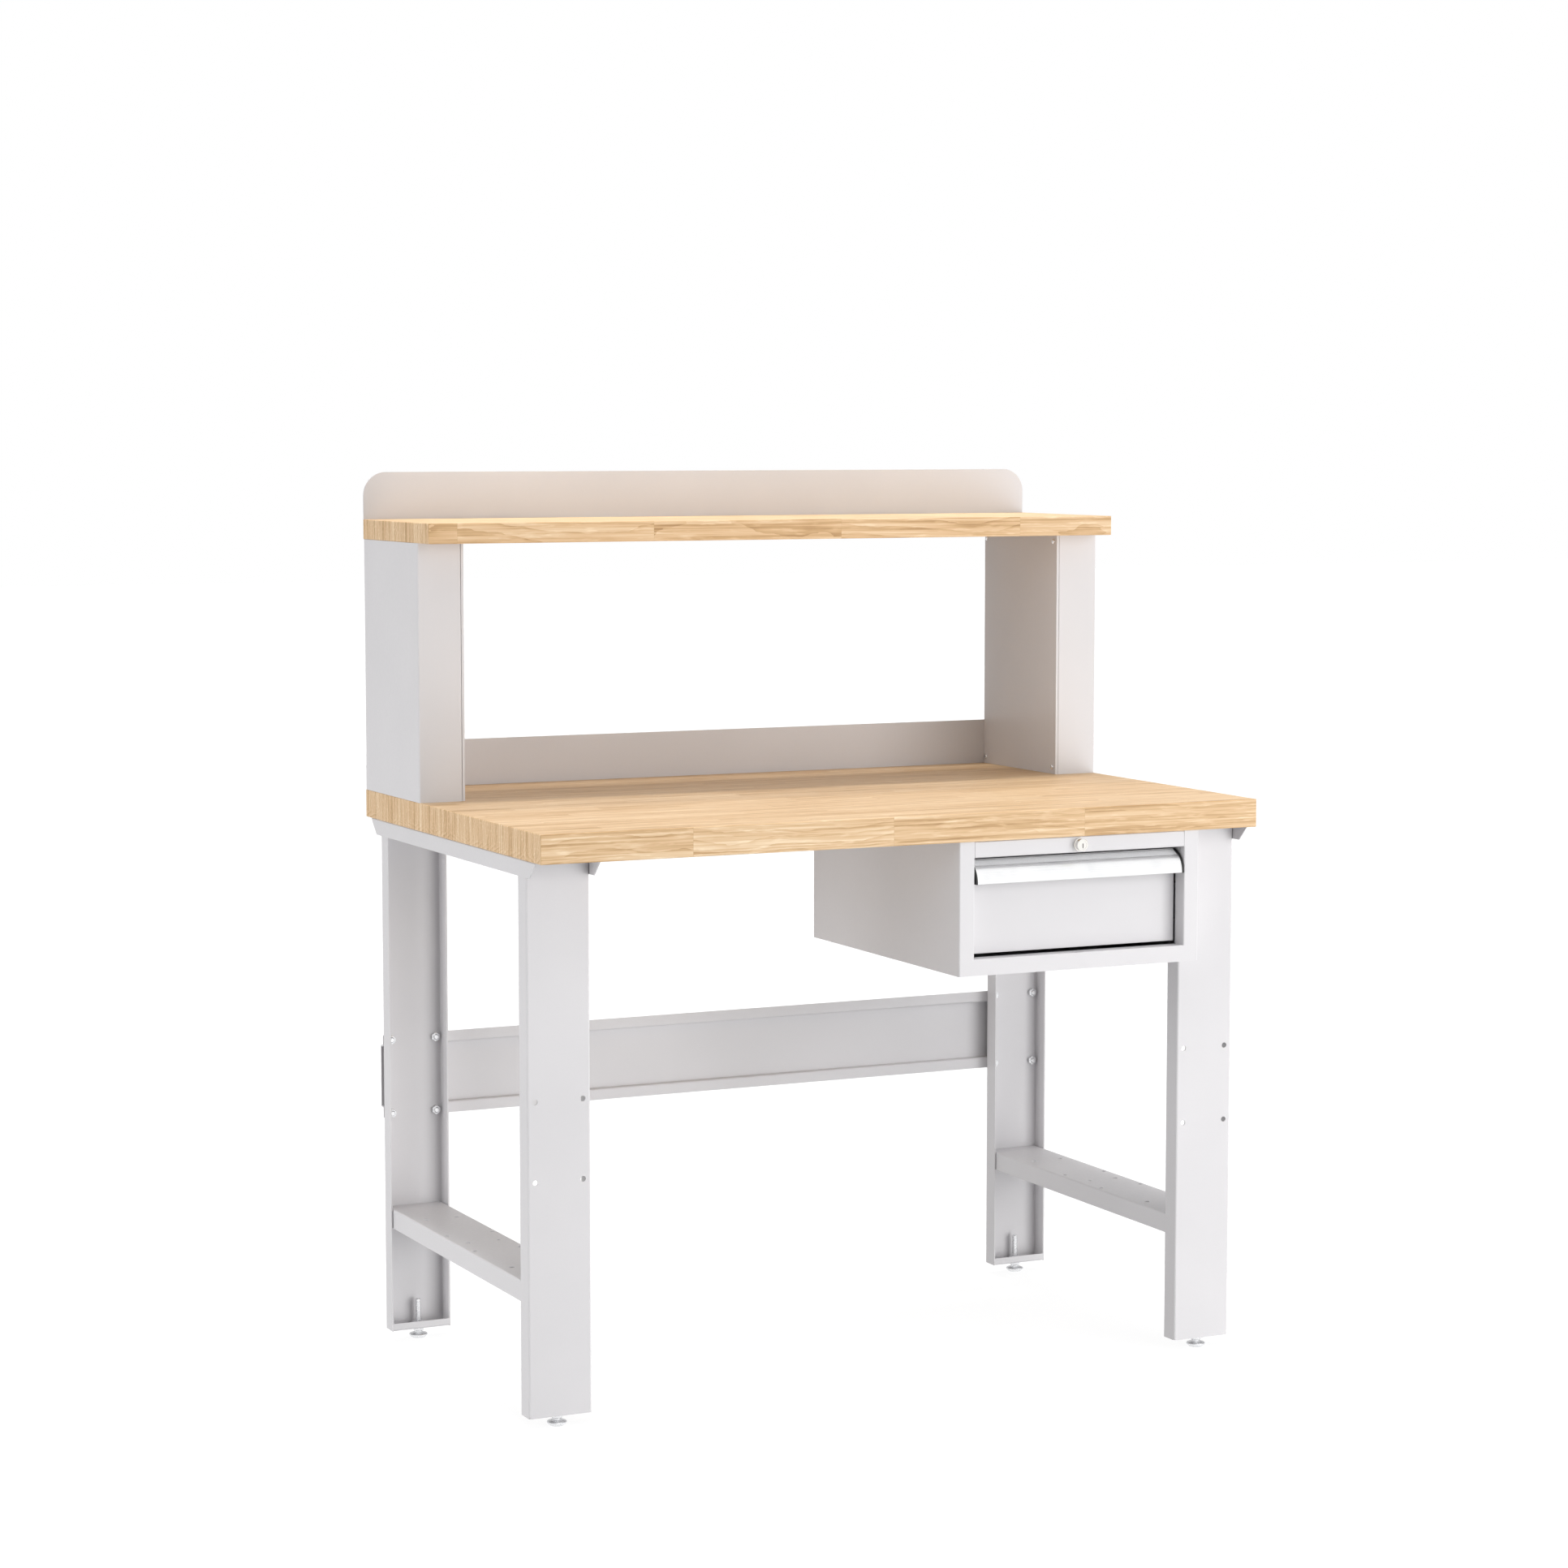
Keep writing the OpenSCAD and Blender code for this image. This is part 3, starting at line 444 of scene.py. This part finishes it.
def hex_row(z, across, most):
    """One ring of a hexagon across its flats, with the corners cut back to the radius most."""
    points = []
    for a in ring_angles():
        from_flat = (a + math.pi / 6) % (math.pi / 3) - math.pi / 6
        radius = min(across / 2 / math.cos(from_flat), most)
        points.append((radius * math.cos(a), radius * math.sin(a), z))
    return points


def across_flats(corner_r):
    return corner_r * 2 * math.cos(math.pi / 6)


def thread_rows(z_from, z_to, outer, pitch, depth):
    """Rings of a screw thread from one height to another, with its crests at the radius outer."""
    rows_per_turn = 5
    count = max(2, round(abs(z_to - z_from) / pitch * rows_per_turn))
    rows = []
    for i in range(count + 1):
        z = z_from + (z_to - z_from) * i / count
        points = []
        for a in ring_angles():
            phase = (z / pitch - a / (2 * math.pi)) % 1
            radius = outer - depth * abs(2 * phase - 1)
            points.append((radius * math.cos(a), radius * math.sin(a), z))
        rows.append(points)
    return rows


def turned(rows, bore=False):
    """A mesh through rings of points: closed by caps at its ends, or with a bore from last ring to first."""
    work = bmesh.new()
    rings = [[work.verts.new(point) for point in row] for row in rows]
    pairs = list(zip(rings, rings[1:]))
    if bore:
        pairs.append((rings[-1], rings[0]))
    for low, high in pairs:
        for i in range(SIDES):
            j = (i + 1) % SIDES
            work.faces.new((low[i], low[j], high[j], high[i]))
    if not bore:
        work.faces.new(reversed(rings[0]))
        work.faces.new(rings[-1])
    bmesh.ops.recalc_face_normals(work, faces=work.faces)
    return mesh_of(work, "turned")


def cross_cutter(size, top, depth):
    """Two crossed blocks that reach depth below and above top, and are shorter at their lower ends."""
    slot = size * 0.24
    lower_share = 0.55
    work = bmesh.new()
    for along, across in ((size, slot), (slot, size)):
        for vert in bmesh.ops.create_cube(work, size=1.0)["verts"]:
            taper = lower_share if vert.co.z < 0 else 1.0
            vert.co.x *= along * (taper if along > across else 1.0)
            vert.co.y *= across * (taper if across > along else 1.0)
            vert.co.z = top + (depth if vert.co.z > 0 else -depth)
    return mesh_of(work, "recess")


def cross_recess(mesh, size, top, depth):
    """The mesh of a screw whose axis is Z, with a Phillips recess cut into its head."""
    cutter = new_object("recess", cross_cutter(size, top, depth))
    blank = new_object("blank", mesh)
    cut = blank.modifiers.new("recess", "BOOLEAN")
    cut.operation = "DIFFERENCE"
    cut.solver = "EXACT"
    cut.use_self = True
    cut.object = cutter
    graph = bpy.context.evaluated_depsgraph_get()
    graph.update()
    result = bpy.data.meshes.new_from_object(blank.evaluated_get(graph))
    for piece in (cutter, blank):
        bpy.data.objects.remove(piece)
    return result


def pan_screw(head_r, head_t, shank_r, length):
    """Pan-head screw: head above z = 0, threaded shank below."""
    dome = [round_row(0, head_r * 0.97), round_row(head_t * 0.12, head_r), round_row(head_t * 0.40, head_r)]
    for turn in (20, 40, 60, 76):
        a = math.radians(turn)
        dome.append(round_row(head_t * (0.40 + 0.60 * math.sin(a)), head_r * (0.42 + 0.58 * math.cos(a))))
    plain = 0.8 * MM
    pitch = max(0.8 * MM, shank_r * 0.45)
    shank = [round_row(-length, shank_r * 0.55)]
    if length > 4 * plain:
        shank += thread_rows(-length + shank_r * 0.6, -plain, shank_r, pitch, depth=shank_r * 0.22)
    else:
        shank.append(round_row(-plain, shank_r))
    shank += [round_row(-plain / 2, shank_r), round_row(0, shank_r)]
    return cross_recess(turned(shank + dome), size=head_r * 1.05, top=head_t, depth=head_t * 0.62)


def hex_bolt(head_r, head_t, shank_r, length):
    """Hexagon bolt: washer face and chamfered head above z = 0, threaded shank below."""
    across = across_flats(head_r)
    chamfer = (head_r - across / 2) * CHAMFER_RISE
    washer_r = across * 0.47
    washer_t = 0.4 * MM
    rows = [round_row(-length, shank_r * 0.8)]
    rows += thread_rows(-length + shank_r * 0.2, -1.2 * MM, shank_r, pitch=1.25 * MM, depth=0.7 * MM)
    rows += [round_row(-0.6 * MM, shank_r), round_row(0, shank_r)]
    rows += [round_row(0, washer_r), round_row(washer_t, washer_r)]
    rows += [hex_row(washer_t, across, head_r), hex_row(head_t - chamfer, across, head_r)]
    rows += [hex_row(head_t, across, across * FACE)]
    return turned(rows)


def hex_nut(outer_r, bore_r, height):
    """Hexagon nut from z = 0 up, chamfered at both faces, with a threaded bore."""
    across = across_flats(outer_r)
    chamfer = (outer_r - across / 2) * CHAMFER_RISE
    face_r = across * FACE
    lead = 0.6 * MM
    rows = [hex_row(0, across, face_r), hex_row(chamfer, across, outer_r)]
    rows += [hex_row(height - chamfer, across, outer_r), hex_row(height, across, face_r)]
    rows += [round_row(height, bore_r + lead)]
    rows += thread_rows(height - lead, lead, bore_r + 0.5 * MM, pitch=1.25 * MM, depth=0.5 * MM)
    rows += [round_row(0, bore_r + lead)]
    return turned(rows, bore=True)


# ---- Fasteners in the places of their CAD nodes ----

AXES = {"x": Vector((1, 0, 0)), "y": Vector((0, 1, 0)), "z": Vector((0, 0, 1))}
SAME_HEIGHT = 0.01 * MM     # heights that differ by less than this count as one


def solids(node):
    """The separate solids of a CAD node, each as its list of points."""
    work = bmesh.new()
    work.from_mesh(NODES[node].data)
    bmesh.ops.remove_doubles(work, verts=work.verts, dist=0.001 * MM)
    left = set(work.verts)
    found = []
    for start in list(work.verts):
        if start not in left:
            continue
        left.discard(start)
        group = [start]
        for vert in group:
            for edge in vert.link_edges:
                other = edge.other_vert(vert)
                if other in left:
                    left.discard(other)
                    group.append(other)
        found.append([vert.co.copy() for vert in group])
    work.free()
    return found


def corners(points):
    """The lowest and highest corners of the box round some points."""
    return Vector(map(min, zip(*points))), Vector(map(max, zip(*points)))


def distances(points, middle, axis):
    """How far each point is from the line through middle along an axis."""
    return [(point - middle - axis * (point - middle).dot(axis)).length for point in points]


def measure(points, axis):
    """How a headed or plain solid lies along an axis.

    Returns the head's direction, the point under the head, the head's radius and height, and the
    shank's radius and length.
    """
    low, high = corners(points)
    middle = (low + high) / 2
    along = [point.dot(axis) for point in points]
    reach = distances(points, middle, axis)
    widest = max(reach)
    headed = [a for a, r in zip(along, reach) if r > widest * 0.9]
    to_head = 1 if sum(headed) / len(headed) > (min(along) + max(along)) / 2 else -1
    under = min(headed) if to_head > 0 else max(headed)
    top = max(along) if to_head > 0 else min(along)
    tip = min(along) if to_head > 0 else max(along)
    shank = max((r for a, r in zip(along, reach) if abs(a - tip) < SAME_HEIGHT), default=widest)
    foot = middle + axis * (under - middle.dot(axis))
    return axis * to_head, foot, widest, abs(top - under), shank, abs(under - tip)


def stand(direction, foot, turn=0.0):
    """The matrix that puts a turned piece's Z axis along direction, with its origin at foot."""
    lean = direction.to_track_quat("Z", "Y").to_matrix().to_4x4()
    return Matrix.Translation(foot) @ lean @ Matrix.Rotation(turn, 4, "Z")


def gather(name, node, parts):
    """Joins placed meshes into one zinc piece that stands for a CAD node and rides on its body."""
    work = bmesh.new()
    for mesh, matrix in parts:
        start = len(work.verts)
        work.from_mesh(mesh)
        work.verts.ensure_lookup_table()
        bmesh.ops.transform(work, matrix=matrix, verts=work.verts[start:])
    mesh = mesh_of(work, name)
    mesh.materials.append(MATERIALS["zinc"])
    mesh.shade_smooth()
    mesh.set_sharp_from_angle(angle=math.radians(35))
    piece = new_object(name, mesh)
    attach(piece, BODY_OF[node])
    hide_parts(node)


def put_screws(node, axis, make):
    """Puts headed fasteners in place of a CAD node's solids; like sizes share one mesh.

    Each pan screw's recess is turned a little further than the last one's.
    """
    turn_step = 0.7 if make is pan_screw else 0.0
    made = {}
    parts = []
    for number, points in enumerate(solids(node)):
        direction, foot, *size = measure(points, AXES[axis])
        size = tuple(round(value, 5) for value in size)
        if size not in made:
            made[size] = make(*size)
        parts.append((made[size], stand(direction, foot, turn_step * number)))
    gather(node + "_detailed", node, parts)


def put_nuts(node, axis):
    """Puts threaded, chamfered nuts in place of a CAD node's solids."""
    along = AXES[axis]
    parts = []
    for points in solids(node):
        low, high = corners(points)
        middle = (low + high) / 2
        reach = distances(points, middle, along)
        height = abs((high - low).dot(along))
        foot = middle - along * height / 2
        parts.append((hex_nut(max(reach), min(reach), height), stand(along, foot)))
    gather(node + "_detailed", node, parts)


def put_glide_stud(node):
    """A levelling glide's stud: neck, chamfered hexagon and thread, at the CAD stud's heights and radii."""
    points = solids(node)[0]
    low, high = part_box(node)
    middle = (low + high) / 2
    heights = sorted({round(point.z, 5) for point in points})
    reach = {
        z: max((point.xy - middle.xy).length for point in points if abs(point.z - z) < SAME_HEIGHT)
        for z in heights
    }
    neck_r = reach[heights[0]]
    thread_r = reach[heights[-2]]
    root_r = thread_r * 0.86
    hex_r = max(reach.values())
    hex_heights = [z for z in heights if reach[z] > hex_r * 0.98]
    foot, top = hex_heights[0], hex_heights[-1]
    across = across_flats(hex_r)
    face_r = across * FACE
    chamfer = 0.7 * MM
    rows = [round_row(low.z, neck_r), round_row(foot, neck_r * 0.9)]
    rows += [hex_row(foot, across, face_r), hex_row(foot + chamfer, across, hex_r)]
    rows += [hex_row(top - chamfer, across, hex_r), hex_row(top, across, face_r)]
    rows += [round_row(top, root_r), round_row(top + 1.2 * MM, root_r)]
    rows += thread_rows(top + 1.8 * MM, high.z - 1.0 * MM, thread_r, pitch=1.5 * MM, depth=0.25 * MM)
    rows += [round_row(high.z, thread_r * 0.75)]
    gather(node + "_threaded", node, [(turned(rows), Matrix.Translation((middle.x, middle.y, 0)))])


# ---- Stage, light and camera ----

SHEEN_FRONT = (-0.43, -0.90, 0)     # where mirror-like surfaces see the brighter side of the studio
CAMERA_AZIMUTH = -25.59             # degrees round from the front, below 0 towards the left
CAMERA_ELEVATION = 5.394            # degrees above the horizontal
CAMERA_DISTANCE = 5.933
CAMERA_LENS = 85.13                 # focal length in millimetres
SENSOR_WIDTH = 36.0                 # millimetres
AIM_OFFSET = Vector((-0.038, 0, 0.0177))    # from the middle of the worktop's top face


def make_floor():
    """A wide, plain floor that glows nearly white, as a lit studio sweep does.

    Diffuse surfaces and shadow rays don't see it, so light from below still reaches the bench.
    """
    work = bmesh.new()
    bmesh.ops.create_grid(work, x_segments=8, y_segments=8, size=30.0)
    mesh = mesh_of(work, "floor")
    material, t = new_material("floor")
    tone = t.noise(t.place(), 0.8, 3.0)
    t.set(
        Base_Color=t.ramp(tone, (0.3, grey(0.17)), (0.7, grey(0.19))),
        Roughness=0.9,
        Specular_IOR_Level=0.0,
        Emission_Color=(1, 1, 1, 1),
        Emission_Strength=0.88,
    )
    mesh.materials.append(material)
    floor = new_object("floor", mesh)
    floor.location.z = cad_box[0].z - 0.2 * MM
    floor.visible_diffuse = False
    floor.visible_shadow = False


def make_world(glows, seen_ahead, seen_behind):
    """A studio dome lit by wide glows, each (unit direction, focus, strength).

    The camera sees it plain white, and mirror-like surfaces see it fall from seen_ahead in front of
    the bench to seen_behind at its back.
    """
    world = bpy.data.worlds.new("studio")
    bpy.context.scene.world = world
    t = Tree(world)

    def lamp(strength):
        return t.add("Background", {"Color": (1, 1, 1, 1), "Strength": strength}).outputs[0]

    towards = t.add("TexCoord").outputs["Generated"]
    total = 0.0
    for direction, focus, strength in glows:
        glow = t.math("POWER", t.math("MAXIMUM", t.facing(towards, direction), 0.0), focus)
        total = t.sum(t.times(glow, strength), total)
    sheen = t.spread(t.facing(towards, SHEEN_FRONT), -0.5, 0.1, seen_behind, seen_ahead)
    path = t.add("LightPath").outputs
    glossy = t.add("MixShader", {0: path["Is Glossy Ray"], 1: lamp(total), 2: lamp(sheen)}).outputs[0]
    shown = t.add("MixShader", {0: path["Is Camera Ray"], 1: glossy, 2: lamp(1.0)}).outputs[0]
    t.feed(t.nodes["World Output"].inputs["Surface"], shown)


def outward(azimuth, elevation):
    """The unit direction at so many degrees round from the front, to the right, and above the horizontal."""
    a = math.radians(azimuth)
    e = math.radians(elevation)
    return Vector((math.sin(a) * math.cos(e), -math.cos(a) * math.cos(e), math.sin(e)))


def point_back(thing, aim, towards, distance):
    """Puts a lamp or camera at that distance from aim, and turns it to look back at it."""
    thing.location = aim + towards * distance
    thing.rotation_euler = (-towards).to_track_quat("-Z", "Y").to_euler()


def make_softbox(name, azimuth, elevation, distance, size, brightness):
    """A square softbox aimed at the bench's middle.

    brightness is what it adds to a white face turned to it.
    """
    light = bpy.data.lights.new(name, "AREA")
    light.shape = "SQUARE"
    light.size = size
    light.energy = brightness * math.pi ** 2 * distance ** 2
    lamp = new_object(name, light)
    point_back(lamp, (cad_box[0] + cad_box[1]) / 2, outward(azimuth, elevation), distance)
    lamp.visible_glossy = False


def make_top_light(name, brightness, tilt, spread):
    """A distant light from above, which draws the shelf's shadow on the worktop.

    tilt is in degrees from straight overhead, above 0 towards the front. brightness is what it adds to
    a white face turned to it, and spread is its width in degrees.
    """
    light = bpy.data.lights.new(name, "SUN")
    light.energy = brightness * math.pi
    light.angle = math.radians(spread)
    lamp = new_object(name, light)
    lamp.rotation_euler = (math.radians(tilt), 0, 0)
    lamp.visible_glossy = False


def make_shelf_light(brightness, height, spread):
    """A strip over the shelf that shines straight down on it, in a beam spread degrees wide."""
    low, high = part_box("shelf")
    light = bpy.data.lights.new("shelf_light", "AREA")
    light.shape = "RECTANGLE"
    light.size = high.x - low.x
    light.size_y = high.y - low.y
    light.spread = math.radians(spread)
    light.energy = brightness * math.pi * light.size * light.size_y
    lamp = new_object("shelf_light", light)
    lamp.location = ((low.x + high.x) / 2, (low.y + high.y) / 2, high.z + height)
    lamp.visible_glossy = False
    lamp.visible_camera = False


def make_camera():
    """The camera looks past the worktop's middle from the front left, a little from above."""
    low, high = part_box("worktop")
    top_middle = Vector(((low.x + high.x) / 2, (low.y + high.y) / 2, high.z))
    data = bpy.data.cameras.new("camera")
    data.lens = CAMERA_LENS
    data.sensor_width = SENSOR_WIDTH
    camera = new_object("camera", data)
    towards = outward(CAMERA_AZIMUTH, CAMERA_ELEVATION)
    point_back(camera, top_middle + AIM_OFFSET, towards, CAMERA_DISTANCE)
    bpy.context.scene.camera = camera


def light_scene():
    """Lights the bench, and shows colours without a film look."""
    make_world(
        glows=[((1, 0, 0), 2, 1.3), ((0, 0, 1), 2, 1.02), ((0, 0, -1), 2, 0.45)],
        seen_ahead=1.1,
        seen_behind=0.7,
    )
    make_softbox("key_light", azimuth=26, elevation=6, distance=4.5, size=3.6, brightness=0.68)
    make_softbox("low_key_light", azimuth=22, elevation=-18, distance=4.5, size=3.6, brightness=0.30)
    make_softbox("fill_light", azimuth=-80, elevation=8, distance=5.0, size=2.5, brightness=0.36)
    make_softbox("low_fill_light", azimuth=-90, elevation=-16, distance=5.0, size=3.0, brightness=0.34)
    make_softbox("back_light", azimuth=180, elevation=10, distance=4.5, size=3.0, brightness=0.20)
    make_top_light("front_top_light", brightness=0.36, tilt=3, spread=3)
    make_top_light("rear_top_light", brightness=0.27, tilt=-14, spread=8)
    make_shelf_light(brightness=0.55, height=0.5, spread=16)
    view = bpy.context.scene.view_settings
    view.view_transform = "Standard"
    view.look = "None"


make_camera()
finish_cad_nodes()

for node, axis in (
    ("riser_cover_screws", "x"), ("riser_fixing_screws", "z"), ("worktop_screws", "z"),
    ("cabinet_screws", "z"), ("stop_screws", "y"), ("handle_screws", "y"),
):
    put_screws(node, axis, pan_screw)
put_screws("stringer_bolts", "y", hex_bolt)
put_nuts("stringer_nuts", "y")
put_nuts("glide_nuts", "z")
for end in ("front", "rear"):
    for side in ("left", "right"):
        put_glide_stud(f"{end}_{side}_glide_stud")

make_floor()
light_scene()
